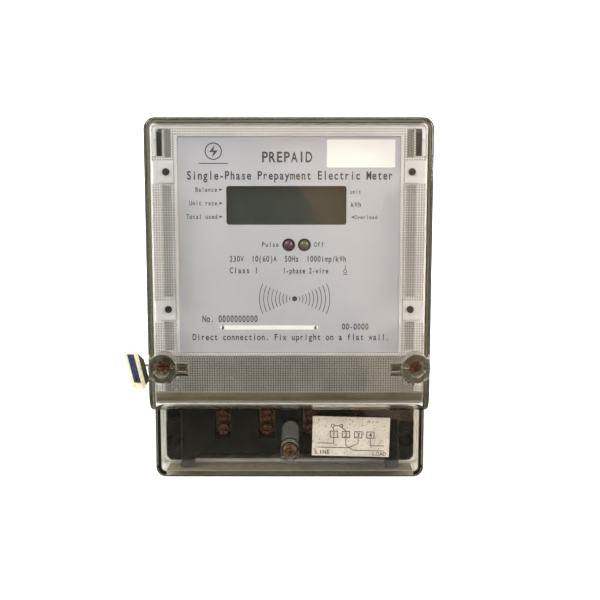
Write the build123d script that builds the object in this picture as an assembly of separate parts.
"""Single-phase prepaid electricity meter, wall mounted, clear covers over an opaque base.

Frame: the origin is the centre of the back face, which lies on the wall. +X is to the
right of a reader facing the meter, +Z is up, and the front faces -Y. A "depth" is a
distance in millimetres out from the wall, so depth d is the plane y = -d.
"""
import os
from math import cos, pi, sin

from build123d import *

# ---------------------------------------------------------------- driving dimensions
CASE_W = 112.0
CASE_H = 144.0
DEPTH = 60.0
COVER_WALL = 2.4
BASE_DEPTH = 30.0
BASE_WALL = 2.6
BASE_FLOOR = 2.5
LIP_TOP = 33.0
TOP_CORNER_R = 4.5
BOTTOM_CORNER_R = 4.0
SEAM = 0.2

HALF_W = CASE_W / 2
HALF_H = CASE_H / 2
COVER_IN = HALF_W - COVER_WALL

# main cover and its rolled lower edge
CHIN_Z = -42.2
CHIN_R = 9.0
FRONT_EDGE_R = 1.4
COVER_TAPER = 1.4

# terminal cover
TERM_DEPTH = 46.0
TERM_WALL = 2.2
TERM_HALF_W = 55.6
TERM_TAPER = 1.0
TERM_TOP_Z = -42.6

# black terminal block
BLOCK_DEPTH = 41.0
BLOCK_HALF_W = 44.9
BLOCK_TOP_Z = -22.0
BLOCK_BOTTOM_Z = -63.3
LEG_INNER_X = 39.9
LEG_BOTTOM_Z = -67.5
TOE_BOTTOM_Z = -69.3
WING_OUT_X = 51.5
WING_TOP_Z = -51.1
WING_DEPTH = 36.0

# four terminals
TERM_PITCH = 18.2
TERM_X = [-27.6 + TERM_PITCH * i for i in range(4)]
BORE_R = 3.6
BORE_DEPTH = 24.5
SLEEVE_HALF_W = 4.5
SLEEVE_BACK = 18.5
SLEEVE_FRONT = 31.5
SLEEVE_Z = (-56.6, -44.4)
CLAMP_Z = (-47.75, -53.8)
CLAMP_TRAVEL = 4.0
CLAMP_SHANK_R = 2.0
CLAMP_HEAD_R = 2.5
CLAMP_HEAD_H = 3.0
RUN_GAP = 0.05
ENTRY_R = 4.5
BUSBAR_D = (26.0, 28.0)

# M3 cover screws and their brass inserts
M3_R = 1.45
M3_HOLE_R = 1.5
INSERT_R = 2.3
INSERT_L = 7.0
SEAL_X = 49.6
SEAL_Z = -24.4
SEAL_BOSS_TOP = 46.2
SEAL_BOSS_R = 3.0
WELL_OUT_R = 5.6
WELL_IN_R = 3.4
WELL_FLOOR = (46.4, 48.4)
SEAL_HEAD = (48.95, 52.2)
SEAL_HEAD_R = 2.7
WIRE_DEPTH = 50.6
COVER_SCREW_Z = -61.2
COVER_BOSS_TOP = 10.2
CUP_R = 4.8
TUBE_R = 3.5
VIEW_SLOT_HALF_W = 3.6
VIEW_SLOT_TOP_Z = -48.2

# inner frame and nameplate
FRAME_BACK = 49.5
FRAME_FACE = 51.5
FRAME_HALF_W = 52.3
FRAME_TOP_Z = 69.0
FRAME_BOTTOM_Z = -20.2
PLATE_HALF_W = 42.8
PLATE_TOP_Z = 65.0
PLATE_BOTTOM_Z = -18.7
PLATE_FACE = 52.0
LCD_X = (-24.4, 22.2)
LCD_Z = (31.2, 46.2)
LED_R = 2.45
LED_X = (-0.2, 5.9)
LED_Z = 23.5
PANEL_SCREW_X = 47.3
PANEL_SCREW_Z = (51.6, -1.7)
PANEL_BOSS_R = 2.9

FRAME_CHANNELS = [
    ((56.2, 68.6), 45.3, 48.1),
    ((2.4, 47.2), 45.5, 49.1),
    ((-18.9, -6.0), 45.5, 49.1),
]
ANTENNA_PEGS = [(side * 21.5, z) for side in (-1, 1) for z in (-12.5, 13.5)]

# main board
BOARD_DEPTH = (33.0, 34.6)
BOARD_HALF_W = 43.5
BOARD_Z = (-19.0, 66.0)
BOARD_POST_X = 39.0
BOARD_POST_Z = (61.0, -14.0)

# wall fixing
FIX_X = 48.3
FIX_Z = -59.5
FIX_R = 2.3
KEYHOLE_Z = 55.0
KEYHOLE_R = 4.5
KEYHOLE_SLOT_R = 2.3
KEYHOLE_RISE = 8.0


# ---------------------------------------------------------------- small builders
def slab(x, z, d):
    """A box between two x values, two z values and two depths."""
    size = (x[1] - x[0], d[1] - d[0], z[1] - z[0])
    centre = ((x[0] + x[1]) / 2, -(d[0] + d[1]) / 2, (z[0] + z[1]) / 2)
    return Pos(*centre) * Box(*size)


def rod(x, z, r, d):
    """A cylinder along the depth direction."""
    return Pos(x, -(d[0] + d[1]) / 2, z) * Rot(90, 0, 0) * Cylinder(r, d[1] - d[0])


def upright(x, depth, r, z):
    """A cylinder along Z."""
    return Pos(x, -depth, (z[0] + z[1]) / 2) * Cylinder(r, z[1] - z[0])


def across(x, depth, z, r):
    """A cylinder along X."""
    return Pos((x[0] + x[1]) / 2, -depth, z) * Rot(0, 90, 0) * Cylinder(r, x[1] - x[0])


def prism(sketch, d):
    """A sketch in x and z, pushed out from one depth to another."""
    return extrude(Plane.XZ.offset(d[0]) * sketch, amount=d[1] - d[0])


def outline(x, z, r_top, r_bottom):
    """A rectangle in x and z with its own top and bottom corner radii."""
    face = Pos((x[0] + x[1]) / 2, (z[0] + z[1]) / 2) * Rectangle(x[1] - x[0], z[1] - z[0])
    if r_top:
        face = fillet(face.vertices().group_by(Axis.Y)[-1], r_top)
    if r_bottom:
        face = fillet(face.vertices().group_by(Axis.Y)[0], r_bottom)
    return face


def rounded(x, z, r, d):
    return prism(outline(x, z, r, r), d)


def tapered(half, taper, d, full_d, z):
    """A block whose side walls lean in by the taper over the full depth range."""
    slope = taper / (full_d[1] - full_d[0])
    wide = half - slope * (d[0] - full_d[0])
    narrow = half - slope * (d[1] - full_d[0])
    plan = Polyline((-wide, -d[0]), (wide, -d[0]), (narrow, -d[1]), (-narrow, -d[1]), close=True)
    return extrude(Plane.XY.offset(z[0]) * make_face(plan), amount=z[1] - z[0])


def both_sides(make):
    """The same feature made at the right and mirrored to the left."""
    right = make()
    return right + mirror(right, Plane.YZ)


def save(name, shape):
    solids = shape.solids()
    body = solids[0] if len(solids) == 1 else Compound(list(solids))
    export_step(body, f"parts/{name}.step")
    print(f"{name}: {len(solids)} solid(s), {sum(s.volume for s in solids):.1f} mm3")


# ---------------------------------------------------------------- base
def base_boss(x, z, r, top, insert_depth, hole_below):
    """A round boss on the floor with a seat for a brass insert and a hole under it."""
    boss = rod(x, z, r, (BASE_FLOOR, top))
    boss -= rod(x, z, INSERT_R, (top - insert_depth, top))
    boss -= rod(x, z, hole_below, (BASE_FLOOR + 0.6, top - insert_depth))
    return boss


def keyhole_chamber():
    """The blind box behind the hanging keyhole, which keeps the inside closed."""
    z = (KEYHOLE_Z - 7.0, KEYHOLE_Z + 13.0)
    return slab((-7.5, 7.5), z, (BASE_FLOOR, 9.0)) - slab((-6.0, 6.0), (z[0] + 1.5, z[1] - 1.5), (2.0, 7.5))


def keyhole_cut():
    entry = rod(0, KEYHOLE_Z, KEYHOLE_R, (-1.0, BASE_FLOOR + 0.1))
    top = KEYHOLE_Z + KEYHOLE_RISE
    neck = slab((-KEYHOLE_SLOT_R, KEYHOLE_SLOT_R), (KEYHOLE_Z, top), (-1.0, BASE_FLOOR + 0.1))
    return entry + neck + rod(0, top, KEYHOLE_SLOT_R, (-1.0, BASE_FLOOR + 0.1))


def base_housing():
    shell = prism(outline((-HALF_W, HALF_W), (-HALF_H, HALF_H), TOP_CORNER_R, 2.0), (0, BASE_DEPTH))
    inner_x = HALF_W - BASE_WALL
    inner_z = HALF_H - BASE_WALL
    shell -= prism(outline((-inner_x, inner_x), (-inner_z, inner_z), 2.2, 1.0), (BASE_FLOOR, 24.0))
    lip_in = 51.8
    lip_in_z = HALF_H - (HALF_W - lip_in)
    lip_out = COVER_IN - 0.7
    lip_out_z = HALF_H - COVER_WALL - 0.4
    lip_hole = outline((-lip_in, lip_in), (-lip_in_z, lip_in_z), 1.2, 2.2)
    shell -= prism(lip_hole, (23.9, BASE_DEPTH + 1))
    lip = prism(outline((-lip_out, lip_out), (-lip_out_z, lip_out_z), 1.9, 2.6), (BASE_DEPTH, LIP_TOP))
    lip -= prism(lip_hole, (BASE_DEPTH - 1, LIP_TOP + 1))
    chin_slot = (CHIN_Z - 0.4, CHIN_Z + COVER_WALL + 0.4)
    shell += lip - slab((-HALF_W, HALF_W), chin_slot, (BASE_DEPTH, LIP_TOP + 1))
    shell += both_sides(lambda: slab((BLOCK_HALF_W + 0.3, 52.0), (-42.0, -39.9), (BASE_FLOOR, 29.8)))
    for side in (-1, 1):
        shell += base_boss(side * SEAL_X, SEAL_Z, SEAL_BOSS_R, SEAL_BOSS_TOP, INSERT_L, 1.6)
        for z in PANEL_SCREW_Z:
            boss = rod(side * PANEL_SCREW_X, z, PANEL_BOSS_R, (BASE_FLOOR, FRAME_BACK))
            shell += boss - rod(side * PANEL_SCREW_X, z, 0.85, (FRAME_BACK - 9.0, FRAME_BACK))
        for z in BOARD_POST_Z:
            post = rod(side * BOARD_POST_X, z, 2.4, (BASE_FLOOR, BOARD_DEPTH[0]))
            shell += post - rod(side * BOARD_POST_X, z, 0.95, (BOARD_DEPTH[0] - 8.0, BOARD_DEPTH[0]))
        shell -= rod(side * FIX_X, FIX_Z, FIX_R, (-1.0, BASE_FLOOR + 1))
    shell += base_boss(0, COVER_SCREW_Z, TUBE_R, COVER_BOSS_TOP, 6.0, 1.6)
    for x in TERM_X:
        shell -= upright(x, BORE_DEPTH, ENTRY_R, (-HALF_H - 1, -HALF_H + BASE_WALL + 2.5))
    shell -= gasket_ring(BASE_DEPTH - 0.8, BASE_DEPTH + 0.1)
    shell += keyhole_chamber()
    return shell - keyhole_cut()


def gasket_ring(d0, d1):
    """A closed flat ring that follows the base rim."""
    out = (HALF_W - 0.9, HALF_H - 0.9)
    inn = (HALF_W - 2.0, HALF_H - 2.0)
    ring = prism(outline((-out[0], out[0]), (-out[1], out[1]), 3.6, 1.4), (d0, d1))
    return ring - prism(outline((-inn[0], inn[0]), (-inn[1], inn[1]), 2.5, 0.6), (d0 - 1, d1 + 1))


def threaded_inserts():
    sockets = []
    for side in (-1, 1):
        sockets.append((side * SEAL_X, SEAL_Z, (SEAL_BOSS_TOP - INSERT_L, SEAL_BOSS_TOP)))
    sockets.append((0, COVER_SCREW_Z, (COVER_BOSS_TOP - 6.0, COVER_BOSS_TOP)))
    group = None
    for x, z, d in sockets:
        sleeve = rod(x, z, INSERT_R, d) - rod(x, z, M3_HOLE_R, (d[0] - 1, d[1] + 1))
        group = sleeve if group is None else group + sleeve
    return group


# ---------------------------------------------------------------- main cover
def cover_profile(inset, back):
    """Side view of the main cover: flat front, rolled chin, open back."""
    front = DEPTH - inset
    top = HALF_H - inset
    bottom = CHIN_Z + inset
    r = CHIN_R - inset
    start = (-front, bottom + r)
    end = (-front + r, bottom)
    mid = (-front + r - r * cos(pi / 4), bottom + r - r * sin(pi / 4))
    edges = Polyline((-back, bottom), (-back, top), (-front, top), start)
    edges += ThreePointArc(start, mid, end)
    edges += Line(end, (-back, bottom))
    return make_face(Plane.YZ * edges)


def cover_body(inset, back, corner_r):
    side_view = extrude(cover_profile(inset, back), amount=HALF_W + 2, both=True)
    z = (CHIN_Z - 5, HALF_H + 5)
    body = side_view & tapered(HALF_W - inset, COVER_TAPER, (back, DEPTH + 2), (BASE_DEPTH, DEPTH), z)
    edges = [e for e in body.edges() if on_long_corner(e, HALF_H - inset)]
    return fillet(edges, corner_r)


def on_long_corner(edge, z):
    """True for the two edges where the side walls meet the top or bottom wall."""
    centre = edge.center()
    return abs(centre.Z - z) < 0.01 and abs(centre.X) > 45


def main_cover():
    back = BASE_DEPTH + SEAM
    shell = cover_body(0, back, TOP_CORNER_R)
    rim = [e for e in shell.edges() if on_front_rim(e)]
    shell = fillet(rim, FRONT_EDGE_R)
    shell -= cover_body(COVER_WALL, back - 1, TOP_CORNER_R - COVER_WALL)
    for side in (-1, 1):
        well = rod(side * SEAL_X, SEAL_Z, WELL_OUT_R, (WELL_FLOOR[0], DEPTH - COVER_WALL + 0.2))
        shell += well & cover_body(0.4, 40.0, 2.0)
        x = (side * 41.6 - 2.6, side * 41.6 + 2.6)
        shell += slab(x, (SEAL_Z - 1.9, SEAL_Z + 1.9), (WIRE_DEPTH - 2.1, DEPTH - COVER_WALL + 0.2))
    for side in (-1, 1):
        shell -= rod(side * SEAL_X, SEAL_Z, WELL_IN_R, (WELL_FLOOR[1], DEPTH + 1))
        shell -= rod(side * SEAL_X, SEAL_Z, 1.6, (WELL_FLOOR[0] - 1, WELL_FLOOR[1] + 1))
        x = sorted((side * (HALF_W + 1), side * 42.0))
        shell -= across(x, WIRE_DEPTH, SEAL_Z, 0.8)
        x = sorted((side * 39.9, side * 43.3))
        shell -= slab(x, (SEAL_Z - 0.8, SEAL_Z + 0.8), (WIRE_DEPTH - 0.9, DEPTH + 1))
    notch_half = BLOCK_HALF_W + 0.4
    notch_z = (CHIN_Z - 1, CHIN_Z + COVER_WALL + 0.1)
    return shell - slab((-notch_half, notch_half), notch_z, (back - 1, BLOCK_DEPTH + 0.3))


def on_front_rim(edge):
    """True for the edges that bound the flat front and the rolled chin."""
    box = edge.bounding_box()
    centre = edge.center()
    flat = abs(box.min.Y + DEPTH) < 0.01 and abs(box.max.Y + DEPTH) < 0.01
    inside_line = flat and abs(centre.X) < 1 and centre.Z < 0
    side = abs(centre.X) > HALF_W - COVER_TAPER - 0.1 and edge.geom_type != GeomType.LINE
    end_arc = side and -DEPTH < centre.Y < -DEPTH + CHIN_R and centre.Z < 0
    return (flat and not inside_line) or end_arc


# ---------------------------------------------------------------- terminal cover
def terminal_cover():
    back = BASE_DEPTH + SEAM
    z = (-HALF_H, TERM_TOP_Z)
    full_d = (back, TERM_DEPTH)
    shell = tapered(TERM_HALF_W, TERM_TAPER, full_d, full_d, z)
    shell = fillet([e for e in shell.edges() if on_long_corner(e, -HALF_H)], BOTTOM_CORNER_R)
    front = shell.faces().sort_by(Axis.Y)[0]
    rim = [e for e in front.edges() if e.center().Z < TERM_TOP_Z - 1]
    shell = fillet(rim, 1.3)
    inner = TERM_HALF_W - TERM_WALL
    cut_d = (back - 1, TERM_DEPTH - TERM_WALL)
    cut = tapered(inner, TERM_TAPER, cut_d, full_d, (-HALF_H + TERM_WALL, TERM_TOP_Z + 1))
    low = -HALF_H + TERM_WALL
    shell -= fillet([e for e in cut.edges() if on_long_corner(e, low)], BOTTOM_CORNER_R - 1.8)
    shell += rod(0, COVER_SCREW_Z, CUP_R, (BLOCK_DEPTH + 0.4, TERM_DEPTH + 0.6))
    shell += rod(0, COVER_SCREW_Z, TUBE_R, (COVER_BOSS_TOP + 0.2, TERM_DEPTH - 1))
    shell -= rod(0, COVER_SCREW_Z, 3.7, (42.9, TERM_DEPTH + 2))
    shell -= rod(0, COVER_SCREW_Z, 1.6, (COVER_BOSS_TOP - 1, 44))
    return shell


# ---------------------------------------------------------------- screws
def crossed_head(x, z, r, d, slot_w, slot_d):
    """A round head with a cross recess in its outer face."""
    head = rod(x, z, r, d)
    top = head.faces().sort_by(Axis.Y)[0]
    head = fillet(top.edges(), min(0.45, r * 0.25))
    arm = r * 1.25
    cut_d = (d[1] - slot_d, d[1] + 1)
    head -= slab((x - arm / 2, x + arm / 2), (z - slot_w / 2, z + slot_w / 2), cut_d)
    return head - slab((x - slot_w / 2, x + slot_w / 2), (z - arm / 2, z + arm / 2), cut_d)


def machine_screw(x, z, head_r, head_d, shank_r, tip, slot_w=0.9, slot_d=1.1):
    screw = crossed_head(x, z, head_r, head_d, slot_w, slot_d)
    return screw + rod(x, z, shank_r, (tip, head_d[0] + 0.01))


def washer(x, z, r_out, r_in, d):
    return rod(x, z, r_out, d) - rod(x, z, r_in, (d[0] - 1, d[1] + 1))


def left_sealing_screw():
    x = (-SEAL_X - 4, -SEAL_X + 4)
    screw = machine_screw(-SEAL_X, SEAL_Z, SEAL_HEAD_R, SEAL_HEAD, M3_R, 40.0, slot_d=0.7)
    screw -= slab(x, (SEAL_Z - 0.62, SEAL_Z + 0.62), (WIRE_DEPTH + 0.3, DEPTH))
    return screw - across(x, WIRE_DEPTH, SEAL_Z, 0.62)


def clamp_screw(x, z):
    """A slotted terminal screw, backed off so that the wire bore is clear."""
    tip = BORE_DEPTH + BORE_R + 0.3
    under_head = SLEEVE_FRONT + CLAMP_TRAVEL + 0.2
    d = (under_head, under_head + CLAMP_HEAD_H)
    head = rod(x, z, CLAMP_HEAD_R, d)
    head = fillet(head.faces().sort_by(Axis.Y)[0].edges(), 0.5)
    head -= slab((x - 4, x + 4), (z - 0.45, z + 0.45), (d[1] - 1.3, d[1] + 1))
    return head + rod(x, z, CLAMP_SHANK_R, (tip, d[0] + 0.01))


# ---------------------------------------------------------------- terminal block
def terminal_block():
    half = BLOCK_HALF_W
    z = (BLOCK_BOTTOM_Z, BLOCK_TOP_Z)
    block = slab((-half, half), z, (BASE_FLOOR + 0.1, BLOCK_DEPTH))
    leg = Polyline(
        (LEG_INNER_X - 1.9, BLOCK_BOTTOM_Z + 0.5),
        (half, BLOCK_BOTTOM_Z + 0.5),
        (half, LEG_BOTTOM_Z),
        (LEG_INNER_X, LEG_BOTTOM_Z),
        close=True,
    )
    block += both_sides(lambda: prism(make_face(leg), (BASE_FLOOR + 0.1, BLOCK_DEPTH)))
    toe_z = (TOE_BOTTOM_Z, LEG_BOTTOM_Z + 0.1)
    block += both_sides(lambda: slab((LEG_INNER_X, half), toe_z, (LIP_TOP + 0.3, BLOCK_DEPTH)))
    wing = Polyline(
        (half - 0.5, WING_TOP_Z),
        (WING_OUT_X, WING_TOP_Z),
        (WING_OUT_X, LEG_BOTTOM_Z + 1.7),
        (WING_OUT_X - 1.7, LEG_BOTTOM_Z),
        (half - 0.5, LEG_BOTTOM_Z),
        close=True,
    )
    block += both_sides(lambda: prism(make_face(wing), (BASE_FLOOR + 0.1, WING_DEPTH)))
    tops = [e for e in block.faces().sort_by(Axis.Y)[0].edges() if e.center().Z > -60]
    block = chamfer(tops, 0.6)
    for side in (-1, 1):
        block -= rod(side * FIX_X, FIX_Z, 3.1, (0, DEPTH))
    for x in TERM_X:
        block -= terminal_room(x)
    notch = TUBE_R + 0.6
    block -= rod(0, COVER_SCREW_Z, notch, (0, BLOCK_DEPTH + 1))
    block -= slab((-notch, notch), (BLOCK_BOTTOM_Z - 1, COVER_SCREW_Z), (0, BLOCK_DEPTH + 1))
    view_slot = (-VIEW_SLOT_HALF_W, VIEW_SLOT_HALF_W)
    block -= slab(view_slot, (COVER_SCREW_Z, VIEW_SLOT_TOP_Z), (0, BLOCK_DEPTH + 1))
    return block - neutral_link_room()


def terminal_room(x):
    """Everything that one terminal needs cut out of the block."""
    sleeve = slab((x - SLEEVE_HALF_W, x + SLEEVE_HALF_W), SLEEVE_Z, (SLEEVE_BACK, SLEEVE_FRONT))
    slot = slab((x - 3.4, x + 3.4), (-57.2, -44.6), (SLEEVE_FRONT - 0.1, BLOCK_DEPTH + 1))
    funnel = upright(x, BORE_DEPTH, BORE_R + 0.2, (BLOCK_BOTTOM_Z - 1, SLEEVE_Z[0] + 0.1))
    mouth = Pos(x, -BORE_DEPTH, BLOCK_BOTTOM_Z + 0.6) * Cone(ENTRY_R, BORE_R + 0.2, 1.4)
    channel_d = (BUSBAR_D[0] - 0.1, BUSBAR_D[1] + 0.1)
    channel = slab((x - 4.1, x + 4.1), (SLEEVE_Z[1] - 0.1, BLOCK_TOP_Z + 1), channel_d)
    return sleeve + slot + funnel + mouth + channel


def neutral_link_room():
    x = (TERM_X[2] - 4.1, TERM_X[3] + 4.1)
    return slab(x, (-28.0, BLOCK_TOP_Z + 1), (BUSBAR_D[0] - 0.1, BUSBAR_D[1] + 0.1))


def terminal_sleeve(x):
    """A brass cage terminal: wire bore from below, two tapped holes from the front."""
    cage = slab((x - SLEEVE_HALF_W, x + SLEEVE_HALF_W), SLEEVE_Z, (SLEEVE_BACK, SLEEVE_FRONT))
    cage -= upright(x, BORE_DEPTH, BORE_R, (SLEEVE_Z[0] - 1, SLEEVE_Z[1] - 1.0))
    for z in CLAMP_Z:
        cage -= rod(x, z, CLAMP_SHANK_R + RUN_GAP, (BORE_DEPTH, SLEEVE_FRONT + 1))
    return cage


def strip(x, z):
    return slab((x - 4.0, x + 4.0), z, BUSBAR_D)


def live_busbar_in():
    return strip(TERM_X[0], (SLEEVE_Z[1], -8.0))


def shunt_element():
    return strip(TERM_X[0], (-8.0, -1.0))


def relay_blade_in():
    return strip(TERM_X[0], (-1.0, 5.0))


def live_busbar_out():
    return strip(TERM_X[1], (SLEEVE_Z[1], 5.0))


def neutral_busbar():
    link = strip(TERM_X[2], (SLEEVE_Z[1], -18.5)) + strip(TERM_X[3], (SLEEVE_Z[1], -18.5))
    return link + slab((TERM_X[2] - 4, TERM_X[3] + 4), (-27.0, -18.5), BUSBAR_D)


# ---------------------------------------------------------------- works inside
def latching_relay():
    case = slab((-36.0, -1.5), (5.0, 41.0), (BASE_FLOOR, 29.0))
    case = fillet(case.edges().filter_by(Axis.Y), 1.2)
    rib = slab((-34.0, -3.5), (20.0, 24.0), (29.0, 29.8))
    return case + rib


def main_board():
    board = rounded((-BOARD_HALF_W, BOARD_HALF_W), BOARD_Z, 1.5, BOARD_DEPTH)
    for side in (-1, 1):
        for z in BOARD_POST_Z:
            board -= rod(side * BOARD_POST_X, z, 1.1, (BOARD_DEPTH[0] - 1, BOARD_DEPTH[1] + 1))
    return board


def small_screws(places, head_r, shank_r, under_head, length, head_h):
    group = None
    for x, z in places:
        d = (under_head, under_head + head_h)
        screw = crossed_head(x, z, head_r, d, head_r * 0.3, head_h * 0.5)
        screw += rod(x, z, shank_r, (under_head - length, under_head + 0.01))
        group = screw if group is None else group + screw
    return group


def corners(x, zs):
    return [(side * x, z) for side in (-1, 1) for z in zs]


def lcd_holder():
    x = (LCD_X[0] - 4.2, LCD_X[1] + 4.2)
    z = (LCD_Z[0] - 4.0, LCD_Z[1] + 4.0)
    ring = rounded(x, z, 1.0, (38.0, 49.4))
    ring -= slab((x[0] + 2.0, x[1] - 2.0), (z[0] + 1.6, z[1] - 1.6), (37, 50))
    for foot in (x[0] + 2.0, x[1] - 2.0):
        for height in (z[0] + 3, z[1] - 3):
            ring += rod(foot, height, 1.4, (BOARD_DEPTH[1], 38.5))
    return ring


def lcd_stack(d):
    x = (LCD_X[0] - 2.1, LCD_X[1] + 2.1)
    return slab(x, (LCD_Z[0] - 2.3, LCD_Z[1] + 2.3), d)


def lcd_pins():
    count = 17
    pitch = 2.54
    group = None
    for i in range(count):
        x = (LCD_X[0] + LCD_X[1]) / 2 + (i - (count - 1) / 2) * pitch
        pin = slab((x - 0.25, x + 0.25), (LCD_Z[0] - 1.0, LCD_Z[0] - 0.5), (BOARD_DEPTH[1], 44.6))
        group = pin if group is None else group + pin
    return group


def indicator(x):
    """A 5 mm lamp: flanged body with a domed tip just proud of the nameplate."""
    tip = 52.3
    body = rod(x, LED_Z, LED_R, (44.5, tip - LED_R))
    body += Pos(x, -(tip - LED_R), LED_Z) * Sphere(LED_R)
    return body + rod(x, LED_Z, LED_R + 0.4, (43.5, 44.6))


def indicator_legs():
    group = None
    for x in LED_X:
        for side in (-1, 1):
            leg_x = x + side * 1.27
            leg = slab((leg_x - 0.25, leg_x + 0.25), (LED_Z - 0.25, LED_Z + 0.25), (BOARD_DEPTH[1], 43.5))
            group = leg if group is None else group + leg
    return group


def antenna_board():
    board = rounded((-24.0, 24.0), (-15.0, 16.0), 1.5, (46.6, 47.6))
    for x, z in ANTENNA_PEGS:
        board -= rod(x, z, 1.0, (46, 48))
    return board


def antenna_coil():
    """Square copper turns of the card reader's aerial."""
    group = None
    for turn in range(5):
        half_w = 19.5 - turn * 1.4
        half_h = 12.5 - turn * 1.4
        ring = rounded((-half_w, half_w), (0.5 - half_h, 0.5 + half_h), 1.6, (47.6, 47.75))
        inner = (half_w - 0.7, half_h - 0.7)
        ring -= rounded((-inner[0], inner[0]), (0.5 - inner[1], 0.5 + inner[1]), 1.0, (47, 48))
        group = ring if group is None else group + ring
    return group


def mains_transformer():
    potted = slab((12.0, 40.0), (26.0, 52.0), (13.0, BOARD_DEPTH[0]))
    potted = fillet(potted.edges().filter_by(Axis.Y), 1.0)
    return chamfer(potted.faces().sort_by(Axis.Y)[-1].edges(), 0.8)


def reservoir_capacitors():
    group = None
    for x in (18.0, 30.5):
        can = rod(x, 14.0, 5.0, (15.0, BOARD_DEPTH[0]))
        can = fillet(can.faces().sort_by(Axis.Y)[-1].edges(), 0.6)
        group = can if group is None else group + can
    return group


def surge_varistor():
    disc = across((22.0, 26.5), 25.0, -4.0, 5.5)
    for x in (22.6, 25.4):
        disc += slab((x - 0.4, x + 0.4), (-7.4, -6.6), (29.0, BOARD_DEPTH[0]))
    return disc


def backup_battery():
    cell = across((-34.0, -10.0), 24.5, 51.5, 7.1)
    cell = fillet(cell.edges().filter_by(GeomType.CIRCLE), 0.6)
    for x in (-32.0, -12.0):
        cell += slab((x - 0.5, x + 0.5), (50.0, 53.0), (31.0, BOARD_DEPTH[0]))
    return cell


def board_chips():
    """Metering, processor, memory, radio and opto parts on the front of the main board."""
    places = [
        (-30.0, 8.0, 7.0, 5.0, 1.7),
        (-8.0, 2.0, 7.0, 7.0, 1.5),
        (14.0, 4.0, 5.0, 4.0, 1.6),
        (31.0, 12.0, 3.2, 2.4, 3.2),
        (31.0, 2.0, 3.2, 2.4, 3.2),
        (34.0, 36.0, 2.6, 2.2, 1.5),
        (-34.0, 30.0, 2.0, 4.0, 2.6),
    ]
    group = None
    for x, z, half_w, half_h, tall in places:
        d = (BOARD_DEPTH[1], BOARD_DEPTH[1] + tall)
        chip = slab((x - half_w, x + half_w), (z - half_h, z + half_h), d)
        group = chip if group is None else group + chip
    return group


def sounder():
    can = rod(33.0, -9.0, 5.0, (BOARD_DEPTH[1], 41.0))
    return can - rod(33.0, -9.0, 0.8, (38.0, 42.0))


def relay_lead():
    """A two-core lead from the relay coil up to the board, held at both ends."""
    group = None
    for offset in (0.0, 2.0):
        x = 1.5 + offset
        run = slab((-1.5, x + 0.6), (34.4 - offset, 35.6 - offset), (19.4, 20.6))
        rise = slab((x - 0.6, x + 0.6), (34.4 - offset, 35.6 - offset), (20.6, BOARD_DEPTH[0]))
        lead = run + rise
        group = lead if group is None else group + lead
    return group


# ---------------------------------------------------------------- frame behind the window
def inner_frame():
    x = (-FRAME_HALF_W, FRAME_HALF_W)
    frame = prism(outline(x, (FRAME_BOTTOM_Z, FRAME_TOP_Z), 1.8, 0.8), (FRAME_BACK, FRAME_FACE))
    frame += both_sides(lambda: slab((50.8, 52.2), (-13.0, 67.0), (36.0, FRAME_BACK + 0.1)))
    rim = PLATE_HALF_W + 1.3
    border = outline((-rim, rim), (PLATE_BOTTOM_Z - 0.1, PLATE_TOP_Z + 1.3), 1, 0)
    frame += prism(border, (FRAME_BACK, FRAME_FACE + 0.8))
    frame += slab(x, (FRAME_BOTTOM_Z, FRAME_BOTTOM_Z + 1.2), (FRAME_BACK - 3.0, FRAME_FACE + 1.2))
    seat = PLATE_HALF_W + RUN_GAP
    seat_z = (PLATE_BOTTOM_Z - RUN_GAP, PLATE_TOP_Z + RUN_GAP)
    frame -= rounded((-seat, seat), seat_z, 0.6, (FRAME_FACE, FRAME_FACE + 3))
    for z, x_in, x_out in FRAME_CHANNELS:
        frame += both_sides(lambda: slab((x_in - 0.8, x_out + 0.5), z, (46.0, FRAME_BACK + 0.1)))
    for z, x_in, x_out in FRAME_CHANNELS:
        frame -= both_sides(lambda: slab((x_in, x_out), (z[0] + 0.8, z[1] - 0.8), (47.2, FRAME_FACE + 1)))
    frame -= both_sides(lambda: slab((48.5, 51.1), (57.5, 68.0), (40.0, FRAME_FACE + 1)))
    frame += both_sides(lambda: rod(51.75, 64.0, 0.5, (FRAME_FACE - 0.5, FRAME_FACE + 0.9)))
    frame -= rounded(LCD_X, LCD_Z, 1.0, (45, 55))
    for lamp_x in LED_X:
        frame -= rod(lamp_x, LED_Z, LED_R + 0.1, (45, 55))
    for px, pz in corners(PANEL_SCREW_X, PANEL_SCREW_Z):
        frame += slab((px - 3.0, px + 3.0), (pz - 4.2, pz + 4.2), (FRAME_FACE - 0.5, FRAME_FACE + 0.5))
        frame -= rod(px, pz, 1.0, (45, 55))
    for side in (-1, 1):
        frame -= rod(side * SEAL_X, SEAL_Z, WELL_OUT_R + 0.5, (30, 55))
    for px, pz in ANTENNA_PEGS:
        frame += rod(px, pz, 1.8, (47.6, FRAME_BACK + 0.1)) + rod(px, pz, 0.95, (45.9, 47.7))
    return frame


def nameplate():
    x = (-PLATE_HALF_W, PLATE_HALF_W)
    plate = rounded(x, (PLATE_BOTTOM_Z, PLATE_TOP_Z), 0.6, (FRAME_FACE, PLATE_FACE))
    plate -= rounded(LCD_X, LCD_Z, 1.0, (50, 55))
    for x in LED_X:
        plate -= rod(x, LED_Z, LED_R + 0.1, (50, 55))
    return plate


def data_sticker():
    return rounded((14.5, 40.7), (53.2, 63.8), 0.3, (PLATE_FACE, PLATE_FACE + 0.12))


def wiring_label():
    tilt = Pos(24.9, 0, -54.9) * Rot(0, 1.4, 0)
    sheet = slab((-15.7, 15.7), (-8.2, 8.2), (TERM_DEPTH, TERM_DEPTH + 0.12))
    return tilt * sheet


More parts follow.
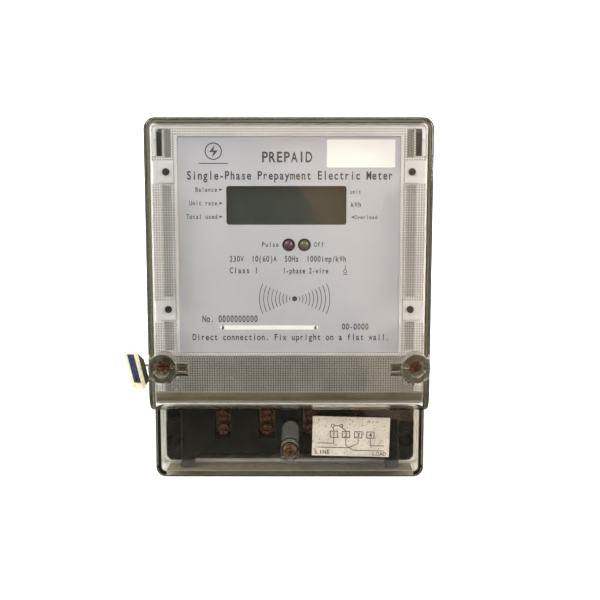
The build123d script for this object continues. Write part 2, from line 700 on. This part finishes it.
# ---------------------------------------------------------------- seal
TAG_AT = Pos(-60.4, -50.6, -25.9) * Rot(0, -13.0, 0) * Rot(0, 0, 36.0)
TAG_HALF = (4.8, 7.8)
TAG_PLATE_Y = (-4.4, 2.3)
TAG_PLATE_Z = (-5.2, 6.6)


def tag_block(x, y, z):
    """A box in the tag's own upright place, between two values each way."""
    centre = ((x[0] + x[1]) / 2, (y[0] + y[1]) / 2, (z[0] + z[1]) / 2)
    return Pos(*centre) * Box(x[1] - x[0], y[1] - y[0], z[1] - z[0])


def seal_tag_body():
    """The tag's open-faced shell, which holds the printed plate."""
    block = tag_block((-1.9, -0.4), (-TAG_HALF[0], TAG_HALF[0]), (-TAG_HALF[1], TAG_HALF[1]))
    block = fillet(block.edges().filter_by(Axis.X), 1.2)
    return block - tag_block((-2.4, -1.1), TAG_PLATE_Y, TAG_PLATE_Z)


def seal_tag_plate():
    gap = 0.05
    y = (TAG_PLATE_Y[0] + gap, TAG_PLATE_Y[1] - gap)
    z = (TAG_PLATE_Z[0] + gap, TAG_PLATE_Z[1] - gap)
    plate = tag_block((-1.8, -1.1), y, z)
    for bar in (-3.5, -0.4):
        plate += tag_block((-1.9, -1.79), (bar - 0.35, bar + 0.35), (z[0] + 0.4, z[1] - 0.4))
    return plate


def seal_tag_latch():
    """The lock body behind the shell, where the wire goes in."""
    side = Polyline((-0.4, -6.8), (1.8, -5.2), (1.8, 3.4), (-0.4, 6.9), close=True)
    latch = extrude(Plane.XZ.offset(-3.6) * make_face(side), amount=8.0)
    latch = TAG_AT * fillet(latch.edges().filter_by(Axis.Y).group_by(Axis.X)[-1], 0.5)
    return latch - across((-60.0, -55.0), WIRE_DEPTH, SEAL_Z - 0.5, 0.75)


def seal_wire():
    """Two strands from the tag, through the side wall and screw head, back in the slot."""
    gap = 0.29
    group = None
    for side in (-1, 1):
        z = SEAL_Z + side * gap
        route = FilletPolyline(
            (-59.6, -WIRE_DEPTH, SEAL_Z + side * gap - 0.5),
            (-56.6, -WIRE_DEPTH, z),
            (-42.0, -WIRE_DEPTH, z),
            radius=3.0,
        )
        start = Plane(origin=route @ 0, z_dir=route % 0)
        strand = sweep(start * Circle(0.26), path=route)
        group = strand if group is None else group + strand
    bend = Plane(origin=(-42.0, -WIRE_DEPTH, SEAL_Z + gap), x_dir=(0, 1, 0), z_dir=(1, 0, 0)) * Circle(0.26)
    turn = revolve(bend, Axis((-42.0, -WIRE_DEPTH, SEAL_Z), (0, 1, 0)), 180)
    return group + turn


# ---------------------------------------------------------------- build every node
def build():
    os.makedirs("parts", exist_ok=True)
    save("base_housing", base_housing())
    save("base_gasket", gasket_ring(BASE_DEPTH - 0.8, BASE_DEPTH + SEAM))
    save("threaded_inserts", threaded_inserts())
    save("terminal_block", terminal_block())
    for i, x in enumerate(TERM_X):
        save(f"terminal_sleeve_{i + 1}", terminal_sleeve(x))
        for place, z in zip(("upper", "lower"), CLAMP_Z):
            save(f"terminal_screw_{i + 1}_{place}", clamp_screw(x, z))
    save("live_busbar_in", live_busbar_in())
    save("shunt_element", shunt_element())
    save("relay_blade_in", relay_blade_in())
    save("live_busbar_out", live_busbar_out())
    save("neutral_busbar", neutral_busbar())
    save("latching_relay", latching_relay())
    save("relay_lead", relay_lead())
    save("main_board", main_board())
    board_posts = corners(BOARD_POST_X, BOARD_POST_Z)
    save("board_screws", small_screws(board_posts, 1.9, 0.9, BOARD_DEPTH[1], 7.0, 1.4))
    save("mains_transformer", mains_transformer())
    save("reservoir_capacitors", reservoir_capacitors())
    save("surge_varistor", surge_varistor())
    save("backup_battery", backup_battery())
    save("board_chips", board_chips())
    save("sounder", sounder())
    save("lcd_holder", lcd_holder())
    save("lcd_reflector", lcd_stack((44.6, 46.8)))
    save("lcd_glass", lcd_stack((46.8, 49.4)))
    save("lcd_pins", lcd_pins())
    save("pulse_lamp", indicator(LED_X[0]))
    save("off_lamp", indicator(LED_X[1]))
    save("lamp_legs", indicator_legs())
    save("antenna_board", antenna_board())
    save("antenna_coil", antenna_coil())
    save("inner_frame", inner_frame())
    panel_bosses = corners(PANEL_SCREW_X, PANEL_SCREW_Z)
    save("panel_screws", small_screws(panel_bosses, 1.4, 0.8, FRAME_FACE + 0.5, 8.0, 0.8))
    save("nameplate", nameplate())
    save("data_sticker", data_sticker())
    save("main_cover", main_cover())
    save("left_sealing_screw", left_sealing_screw())
    save("left_sealing_washer", washer(-SEAL_X, SEAL_Z, 2.9, 1.55, (WELL_FLOOR[1], SEAL_HEAD[0])))
    save("right_sealing_screw", machine_screw(SEAL_X, SEAL_Z, SEAL_HEAD_R, SEAL_HEAD, M3_R, 40.0))
    save("right_sealing_washer", washer(SEAL_X, SEAL_Z, 2.9, 1.55, (WELL_FLOOR[1], SEAL_HEAD[0])))
    save("seal_wire", seal_wire())
    save("seal_tag_body", TAG_AT * seal_tag_body())
    save("seal_tag_plate", TAG_AT * seal_tag_plate())
    save("seal_tag_latch", seal_tag_latch())
    save("terminal_cover", terminal_cover())
    save("wiring_label", wiring_label())
    save("cover_screw", machine_screw(0, COVER_SCREW_Z, 2.6, (43.45, 45.6), M3_R, 5.0))
    save("cover_screw_washer", washer(0, COVER_SCREW_Z, 2.8, 1.55, (42.9, 43.45)))


build()
